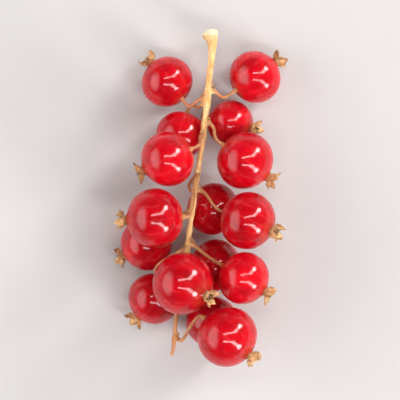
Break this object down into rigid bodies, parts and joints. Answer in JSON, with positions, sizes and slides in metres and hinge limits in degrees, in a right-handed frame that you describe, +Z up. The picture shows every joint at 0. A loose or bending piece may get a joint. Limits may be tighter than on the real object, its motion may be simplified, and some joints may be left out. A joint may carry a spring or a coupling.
{
  "type": "sprig of redcurrants",
  "caption": "Cut sprig of ripe redcurrants lying on its side: a woody main stem with glossy red berries on thin stalks, each ending in a dried flower.",
  "frame": {"origin": "on the table, below the middle of the whole sprig's box", "axes": "+Z up from the table; the main stem runs along Y, with its cut end towards +Y and its tip towards -Y; +X to the right, seen from above with the cut end at the top"},
  "size_m": [0.032, 0.0582, 0.0198],
  "materials": {
    "stem": "straw-yellow bark with fine lengthwise ridges, brown towards the tip, pale at the cut end",
    "stalk": "thin, smooth and slightly waxy, yellow-green flushed with pink",
    "berry_skin": "very glossy, translucent red skin with faint paler veins running from stalk to flower",
    "dried_flower": "dry, matt and papery, tan at the sepals and dark brown inside"
  },
  "bodies": {
    "root": {"main_stem": "stem", "stalk_01": "stalk", "berry_01": "berry_skin", "calyx_01": "dried_flower", "stalk_02": "stalk", "berry_02": "berry_skin", "calyx_02": "dried_flower", "stalk_03": "stalk", "berry_03": "berry_skin", "calyx_03": "dried_flower", "stalk_04": "stalk", "berry_04": "berry_skin", "calyx_04": "dried_flower", "stalk_05": "stalk", "berry_05": "berry_skin", "calyx_05": "dried_flower", "stalk_06": "stalk", "berry_06": "berry_skin", "calyx_06": "dried_flower", "stalk_07": "stalk", "berry_07": "berry_skin", "calyx_07": "dried_flower", "stalk_08": "stalk", "berry_08": "berry_skin", "calyx_08": "dried_flower", "stalk_09": "stalk", "berry_09": "berry_skin", "calyx_09": "dried_flower", "stalk_10": "stalk", "berry_10": "berry_skin", "calyx_10": "dried_flower", "stalk_11": "stalk", "berry_11": "berry_skin", "calyx_11": "dried_flower", "stalk_12": "stalk", "berry_12": "berry_skin", "calyx_12": "dried_flower", "stalk_13": "stalk", "berry_13": "berry_skin", "calyx_13": "dried_flower", "stalk_14": "stalk", "berry_14": "berry_skin", "calyx_14": "dried_flower", "stalk_15": "stalk", "berry_15": "berry_skin", "calyx_15": "dried_flower", "stalk_16": "stalk", "berry_16": "berry_skin", "calyx_16": "dried_flower"}
  },
  "joints": []
}
